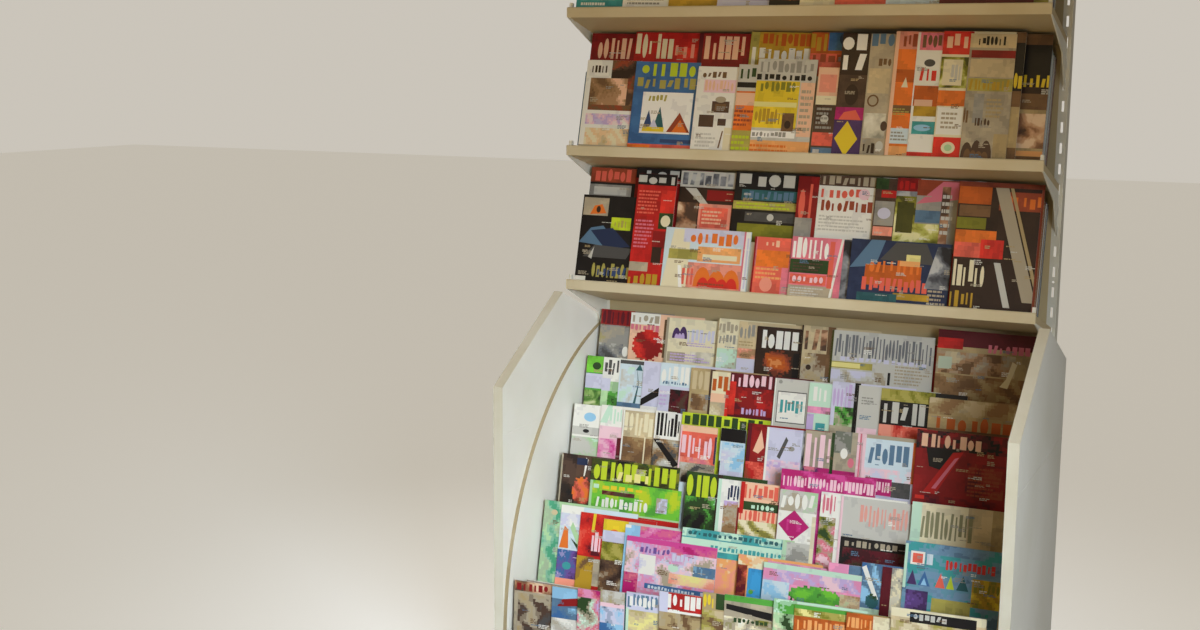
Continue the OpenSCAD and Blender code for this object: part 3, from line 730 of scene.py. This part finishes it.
row("magazines_tier_5", "fan", """
  sage 208 green: strip 0 100 teal+green/sage+teal/sage/sage+grey 7, disc 60 86 9 beige 7;
  ice 204: band 78 100 paper, strip 74 90 ice/lavender/paper, shape orange 5 46 50 46 42 70 24 74,
    shape sage 52 72 96 50 96 64 62 80, shape forest 56 60 95 46 95 52,
    strip 8 44 purple/violet/blue/lilac 4, disc 50 24 12 teal 10, band 0 8 salmon;
  red 192: strip 44 102 maroon/red/scarlet/coral 4, shape yellow 50 76 62 76 66 100 54 100,
    title 50 50 100 76 blush 3, mosaic 0 0 70 42 brown/mustard/mustard 4, box 70 4 100 40 stone;
  silver 178: band 84 100 yellow, disc 50 82 12 orange 8, band 68 84 lavender,
    strip 42 68 moss/olive/khaki 4, strip 0 42 umber/cocoa/brown/stone;
  lilac 27: mosaic 24 0 110 100 rose/candy/pink, column 0 26 sky, box 0 70 10 100 paper;
  teal 147: mosaic 0 86 200 102 teal/teal/mint 6, title 10 89 180 96 petrol 20, box 0 66 200 84 mint,
    title 50 68 190 76 teal 20, box 0 56 200 66 teal, mosaic 0 0 200 56 salmon/apricot/cream 7;
  apricot 102: strip 70 100 salmon/apricot/cream, box 36 0 92 70 azure, box 92 0 110 80 navy,
    mosaic 0 0 32 76 maroon/rust/coral 4, disc 50 14 6 green;
  pink 10;
  pink 21: column 60 110 steel;
  blue 118: strip 0 100 blue/steel/steel/sky, shape paper 0 90 20 95 90 30 80 20,
    mosaic 30 10 90 40 petrol/forest/green 4 0 .1, band 0 10 mint;
  cocoa 112: column 0 46 maroon, mosaic 46 0 110 100 silver/cream/grey;
  steel 156: strip 84 102 teal/azure+grey/steel 6, strip 0 84 steel/azure+grey/teal 8, box 0 30 3 96 mint,
    box 6 66 20 86 paper, box 8 69 18 83 coral, box 22 68 28 84 ice, title 40 64 90 78 scarlet 11,
    shape purple 4 36 14 36 9 58, shape blue 15 36 27 36 21 58, shape sky 18 37 24 37 21 48,
    shape coral 32 36 42 36 37 58, shape lime 43 36 51 36 47 56, shape petrol 53 36 65 36 59 58,
    mosaic 68 14 110 56 olive/mustard/yellow 6, title 70 36 96 50 olive,
    mosaic 4 0 26 28 navy/purple/violet, box 30 0 68 20 khaki;
""")
row("magazines_tier_5", "flat", """
  lilac 130: strip 0 92 rose/lilac/pink/lavender/blush/stone, band 90 100 candy,
    mosaic 50 80 110 94 magenta/candy/rose, title 16 72 50 84 violet 7, title 52 64 80 78 lavender,
    mosaic 16 30 34 68 lavender/paper/paper, disc 54 50 14 mint 10, mosaic 76 40 100 60 blue/steel/sky,
    mosaic 50 20 100 40 salmon/peach/straw, mosaic 0 0 16 30 magenta/rose, box 24 4 94 14 blue,
    title 28 5 80 11 ice 14, mosaic 86 0 105 12 lavender/paper;
  pink 84: band 84 100 mint, strip 46 84 pink/pink/lilac/blush 6, mosaic 0 0 28 50 sky/sky/ice 6,
    mosaic 28 -10 82 50 forest/green/green/grass 5 0 .3, mosaic 80 0 110 40 tan/beige/sage;
""")
row("magazines_bin", "fan", """
  stone 128: band 80 100 clay, title 6 82 90 96 wine, mosaic 10 0 100 76 coal/cocoa/stone/sand 6;
  steel 112: band 74 100 sky, shape wine 20 56 110 64 110 82 40 74, strip 30 56 blue/steel/sky,
    strip 0 30 stone/silver/paper;
  rose 106: strip 80 102 magenta/rose/pink 4, strip 0 80 forest/stone/mint/rose/lilac 4;
  blush 102: strip 70 102 khaki/stone/silver, mosaic 0 20 90 60 steel/lavender/sky,
    mosaic 0 0 90 20 blue/sky, column 92 110 petrol;
  lavender 99: title 4 62 96 96 steel 7, title 10 66 90 90 paper, strip 0 56 khaki/beige/straw 6,
    box 0 0 8 60 mint;
  paper 99: band 56 100 red, title 4 62 98 96 paper 7, box 0 50 20 100 lavender,
    strip 0 50 brown/sand/stone 6;
  sand 96: title 4 62 60 96 yellow 3, box 60 60 110 100 forest, strip 0 56 brown/khaki/beige 6;
  stone 92: band 84 100 green, shape black 4 62 96 46 96 66 4 76, strip 0 44 olive/stone/cream/paper,
    title 20 30 90 42 forest 8;
  mint 82: strip 60 102 green/mint/paper, strip 0 60 forest/sage/cream;
  khaki 66: band 86 100 green, strip 62 86 olive/khaki/straw, band 0 60 copper, title 6 10 98 50 apricot 9,
    disc 50 -70 26 apricot 30, disc 50 -70 14 rust 18;
  copper 48 rust: title 2 30 60 80 apricot, mosaic 60 0 110 102 beige/cream/paper;
  beige 58: band 66 100 cream, box 20 50 90 90 black, title 24 60 60 84 silver,
    strip 0 50 khaki/beige/cream 6, disc 50 -90 42 cream 30, disc 50 -90 26 olive+grey 18;
""")


# Solids of a stock node
THIN = 0.0045      # metres, a thinner solid is one copy and any other a pile
TURNED = 0.005     # a copy whose right-hand direction leaves the row's by more than this is fanned
ROW_GAP = 0.02     # metres, on a shelf the copies farther back than this belong to the rear row
Part = namedtuple("Part", "corner right up front width height thickness")


def parts_of(obj):
    """The boxes in a node's mesh, each by its front corner at the lower left, its directions and sizes."""
    mesh = obj.data
    index, spot_of = {}, []
    for vertex in mesh.vertices:
        rounded = tuple(round(c, 5) for c in vertex.co)
        spot_of.append(index.setdefault(rounded, len(index)))
    group = list(range(len(index)))

    def find(i):
        """The spot that stands for the box that a spot belongs to."""
        while group[i] != i:
            group[i] = group[group[i]]
            i = group[i]
        return i

    for face in mesh.polygons:
        first = find(spot_of[face.vertices[0]])
        for i in face.vertices[1:]:
            group[find(spot_of[i])] = first
    corners, normals = {}, {}
    for i, spot in enumerate(index):
        corners.setdefault(find(i), []).append(Vector(spot))
    for face in mesh.polygons:
        normals.setdefault(find(spot_of[face.vertices[0]]), []).append(face.normal.copy())
    out = []
    for first, points in corners.items():
        right = max(normals[first], key=lambda n: n.x)
        up = max(normals[first], key=lambda n: n.z)
        front = min(normals[first], key=lambda n: n.y)
        spans = []
        for direction in (right, up, front):
            along = [point.dot(direction) for point in points]
            spans.append((min(along), max(along)))
        corner = right * spans[0][0] + up * spans[1][0] + front * spans[2][1]
        out.append(Part(corner, right, up, front, *(high - low for low, high in spans)))
    return out


def placer(part):
    """A function that turns mm to the right, up and out of a part's front into a place in the scene."""
    def at(x, y, z):
        return part.corner + part.right * (x * MM) + part.up * (y * MM) + part.front * (z * MM)

    return at


class Sheet:
    """Collects faces with their materials and makes one object of them."""

    def __init__(self):
        self.points, self.faces, self.slots, self.names = [], [], [], []

    def face(self, points, name):
        if name not in self.names:
            self.names.append(name)
        first = len(self.points)
        self.points += points
        self.faces.append(tuple(range(first, first + len(points))))
        self.slots.append(self.names.index(name))

    def box(self, at, x0, x1, y0, y1, z0, z1, name):
        """Box in a part's own directions."""
        corners = [at(x, y, z) for z in (z0, z1) for y in (y0, y1) for x in (x0, x1)]
        sides = ((1, 0, 2, 3), (0, 1, 5, 4), (2, 6, 7, 3), (0, 4, 6, 2), (1, 3, 7, 5), (4, 5, 7, 6))
        for side in sides:
            self.face([corners[i] for i in side], name)

    def build(self, name):
        mesh = bpy.data.meshes.new(name)
        mesh.from_pydata([tuple(point) for point in self.points], [], self.faces)
        for used in self.names:
            mesh.materials.append(material_of(used))
        for polygon, slot in zip(mesh.polygons, self.slots):
            polygon.material_index = slot
        mesh.update()
        obj = bpy.data.objects.new(name, mesh)
        bpy.context.scene.collection.objects.link(obj)
        return obj


# Single copies, in mm
LEAF = 0.3           # thickness of a cover's leaf
PRINT_ROOM = 0.35    # a cover lies this far behind its solid's front
PRINT_USED = 0.33    # the layers of print take up at most this much of that room
LAYER = 0.05         # usual distance between two layers of print
EDGE = 0.15          # print ends this far inside the cover's edge
PAGE_INSET = 0.6     # the pages end this far inside the cover at the right and at the top
PAGE_FOOT = 0.5      # and this far above its foot
PAGE_PLAY = 0.45     # air behind the pages and the print in front of the cover take up this much
GROUND_PAST = 12     # the ground's unevenness runs on this far behind the next copy


def clip(points, width, height):
    """A convex outline cut to the cover."""
    limits = ((0, EDGE, False), (0, width - EDGE, True), (1, EDGE, False), (1, height - EDGE, True))
    for axis, limit, keep_low in limits:
        out = []
        for a, b in zip(points, points[1:] + points[:1]):
            a_stays = a[axis] <= limit if keep_low else a[axis] >= limit
            b_stays = b[axis] <= limit if keep_low else b[axis] >= limit
            if a_stays:
                out.append(a)
            if a_stays != b_stays:
                share = (limit - a[axis]) / (b[axis] - a[axis])
                out.append((a[0] + share * (b[0] - a[0]), a[1] + share * (b[1] - a[1])))
        points = out
        if len(points) < 3:
            return []
    return points


def folded_cover(sheet, at, left, right, top, rear, front, colour, back):
    """A cover's two leaves and the fold at its left."""
    sheet.box(at, left, right, 0, top, front - LEAF, front, colour)
    sheet.box(at, left, right, 0, top, rear, rear + LEAF, back)
    sheet.box(at, left, left + LEAF, 0, top, rear + LEAF, front - LEAF, colour)


def add_copy(sheet, part, cover, seen_width, rng):
    """One magazine: its pages, its folded cover and the print on the part of the cover that shows."""
    width, height, thick = part.width / MM, part.height / MM, part.thickness / MM
    at = placer(part)
    pages = -PRINT_ROOM - LEAF
    page_depth = thick - 2 * LEAF - PAGE_PLAY
    sheet.box(at, LEAF, width - PAGE_INSET, PAGE_FOOT, height - PAGE_INSET,
              pages - page_depth, pages, "paper")
    folded_cover(sheet, at, 0, width, height, -thick, -PRINT_ROOM, cover.ground, cover.back)
    page = Page(seen_width, min(cover.depth or height, height), height, rng)
    layers = [draw(page, *given) for draw, given in cover.marks]
    if cover.ground in HUES:
        right = min(width, seen_width + GROUND_PAST)
        layers.insert(0, mottle(0, page.y(0), right, height, cover.ground, rng))
    layers.append(small_print(page, cover.ground))
    step = min(LAYER, PRINT_USED / (len(cover.marks) + 3))
    lift = -PRINT_ROOM + step
    for layer in layers:
        for outline, colour in layer:
            inside = clip(outline, width, height)
            if inside:
                sheet.face([at(x, y, lift) for x, y in inside], colour)
        lift += step


# Piles of copies, in mm
PILE_COPY = (3.2, 6.5)    # range of a copy's thickness
PILE_REST = 2             # a thinner rest goes to the last copy
PILE_GAP = 0.15
PILE_INSET = 0.4          # the pages end this far inside the cover at the left, the foot and both leaves
PILE_TRIM = 0.5           # and this far at the right and at the top
PILE_SIDE = 3             # a copy's sides stand back by up to this
PILE_TOP = 7              # and its top by up to this
TONES = [
    "paper", "silver", "cream", "wine", "steel", "mustard", "coal", "petrol", "rust",
    "ice", "olive", "maroon", "cocoa", "grey",
]


def add_pile(sheet, part, rng):
    """A block of copies standing one behind the other, with uneven edges."""
    width, height, thick = part.width / MM, part.height / MM, part.thickness / MM
    at = placer(part)
    z, last = 0, False
    while not last:
        first = z == 0
        copy = min(rng.uniform(*PILE_COPY), z + thick)
        last = z + thick - copy < PILE_REST
        if last:
            copy = z + thick
        left = 0 if first else rng.uniform(0, PILE_SIDE)
        right = width - (0 if first else rng.uniform(0, PILE_SIDE))
        top = height - (0 if first or last else rng.uniform(0, PILE_TOP))
        tone = rng.choice(TONES)
        rear, front = z - copy, z - PILE_GAP
        sheet.box(at, left + PILE_INSET, right - PILE_TRIM, PILE_INSET, top - PILE_TRIM,
                  rear + PILE_INSET, front - PILE_INSET, "paper")
        folded_cover(sheet, at, left, right, top, rear, front, tone, rng.choice(TONES))
        z -= copy


# Printed stock in the place of the plain stock nodes
def groups_of(node, copies):
    """A node's copies by row: front and rear on a shelf, flat and fan elsewhere."""
    fanned = [p for p in copies if abs(p.right.y) >= TURNED]
    if not node.startswith("magazines_shelf"):
        return {"flat": [p for p in copies if abs(p.right.y) < TURNED], "fan": fanned}
    row_end = min(p.corner.y for p in fanned) + ROW_GAP
    front = [p for p in fanned if p.corner.y < row_end]
    return {"front": front, "rear": [p for p in fanned if p.corner.y >= row_end]}


for node, rows in covers.items():
    rng = random.Random(node)
    parts = parts_of(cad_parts[node])
    sheet = Sheet()
    for group, copies in groups_of(node, [p for p in parts if p.thickness < THIN]).items():
        copies.sort(key=lambda p: p.corner.x)
        for i, part in enumerate(copies):
            seen = part.width
            if i + 1 < len(copies) and group != "flat":
                seen = min(seen, copies[i + 1].corner.x - part.corner.x)
            add_copy(sheet, part, rows[group][i % len(rows[group])], seen / MM, rng)
    for part in parts:
        if part.thickness >= THIN:
            add_pile(sheet, part, rng)
    piece = sheet.build(node + "_printed")
    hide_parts(node)
    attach(piece, "root")


# Camera as in the photograph: lens and sensor in mm, place in metres, turns in degrees
LENS, SENSOR = 45.808, 36
CAMERA_PLACE = (1.1586, -3.5382, 1.6564)
TURNED_LEFT, TILTED_DOWN, ROLLED = (math.radians(a) for a in (25.015, 9.391, 0.381))

camera = bpy.data.objects.new("camera", bpy.data.cameras.new("camera"))
bpy.context.scene.collection.objects.link(camera)
bpy.context.scene.camera = camera
camera.data.sensor_fit = "HORIZONTAL"
camera.data.sensor_width = SENSOR
camera.data.lens = LENS
camera.data.clip_start = 0.05
camera.data.clip_end = 100
ahead = Vector((
    -math.sin(TURNED_LEFT) * math.cos(TILTED_DOWN),
    math.cos(TURNED_LEFT) * math.cos(TILTED_DOWN),
    -math.sin(TILTED_DOWN),
))
level = Vector((math.cos(TURNED_LEFT), math.sin(TURNED_LEFT), 0))
upright = level.cross(ahead)
right = level * math.cos(ROLLED) + upright * math.sin(ROLLED)
up = level * -math.sin(ROLLED) + upright * math.cos(ROLLED)
camera.rotation_mode = "QUATERNION"
turn = Matrix((right, up, -ahead)).transposed().to_4x4()
camera.matrix_world = Matrix.Translation(CAMERA_PLACE) @ turn


# Pale floor, a little below the feet, which glows only in the camera's own view
FLOOR_SIZE, FLOOR_DROP = 40, 0.0005    # metres
FLOOR_GLOW = 0.44
bpy.ops.mesh.primitive_plane_add(size=FLOOR_SIZE, location=(0, 0, -FLOOR_DROP))
floor = bpy.context.object
floor.name = "floor"
pale = surface("floor_pale", linear("c6d0dc"), 0.6)
nodes, links = pale.node_tree.nodes, pale.node_tree.links
glow = nodes["Principled BSDF"]
glow.inputs["Emission Color"].default_value = (0.95, 0.88, 0.76, 1)
ray = nodes.new("ShaderNodeLightPath")
dim = nodes.new("ShaderNodeMath")
dim.operation = "MULTIPLY"
dim.inputs[1].default_value = FLOOR_GLOW
links.new(ray.outputs["Is Camera Ray"], dim.inputs[0])
links.new(dim.outputs[0], glow.inputs["Emission Strength"])
floor.data.materials.append(pale)


# Soft light from all round, and a pale backdrop that only the camera sees
SOFT_LIGHT, BACKDROP_LIGHT = 0.21, 0.64
world = bpy.data.worlds.new("studio")
bpy.context.scene.world = world
world.use_nodes = True
nodes, links = world.node_tree.nodes, world.node_tree.links
soft = nodes["Background"]
soft.inputs["Color"].default_value = (0.97, 0.8, 0.58, 1)
soft.inputs["Strength"].default_value = SOFT_LIGHT
backdrop = nodes.new("ShaderNodeBackground")
backdrop.inputs["Color"].default_value = (0.93, 0.87, 0.77, 1)
backdrop.inputs["Strength"].default_value = BACKDROP_LIGHT
ray = nodes.new("ShaderNodeLightPath")
mix = nodes.new("ShaderNodeMixShader")
links.new(ray.outputs["Is Camera Ray"], mix.inputs["Fac"])
links.new(soft.outputs[0], mix.inputs[1])
links.new(backdrop.outputs[0], mix.inputs[2])
links.new(mix.outputs[0], nodes["World Output"].inputs["Surface"])


# Lamps
def lamp(name, place, target, size, power, colour, spread=180):
    """Rectangular lamp turned to a target: metres, watts, and degrees of spread."""
    light = bpy.data.lights.new(name, "AREA")
    light.shape = "RECTANGLE"
    light.size, light.size_y = size
    light.energy = power
    light.color = colour
    light.spread = math.radians(spread)
    obj = bpy.data.objects.new(name, light)
    obj.location = place
    obj.rotation_mode = "QUATERNION"
    obj.rotation_quaternion = (Vector(target) - Vector(place)).to_track_quat("-Z", "Y")
    bpy.context.scene.collection.objects.link(obj)


lamp("key", (-0.2, -2.4, 3.3), (0, 0, 1.0), (1.6, 1.0), 9.6, (1, 0.68, 0.22))
lamp("glow", (0.3, -2.2, 0.7), (0, 0, 2.05), (1.4, 0.6), 2.1, (1, 0.64, 0.18), 66)
lamp("rear", (-2.4, 2.9, 2.3), (0, 0.2, 1.0), (2.0, 1.6), 15, (1, 0.94, 0.86), 60)
lamp("fill", (1.9, -2.7, 1.6), (-0.6, 0, 0.28), (1.2, 1.2), 11.8, (0.88, 0.96, 1), 47)

view = bpy.context.scene.view_settings
view.view_transform = "Standard"
view.look = "None"
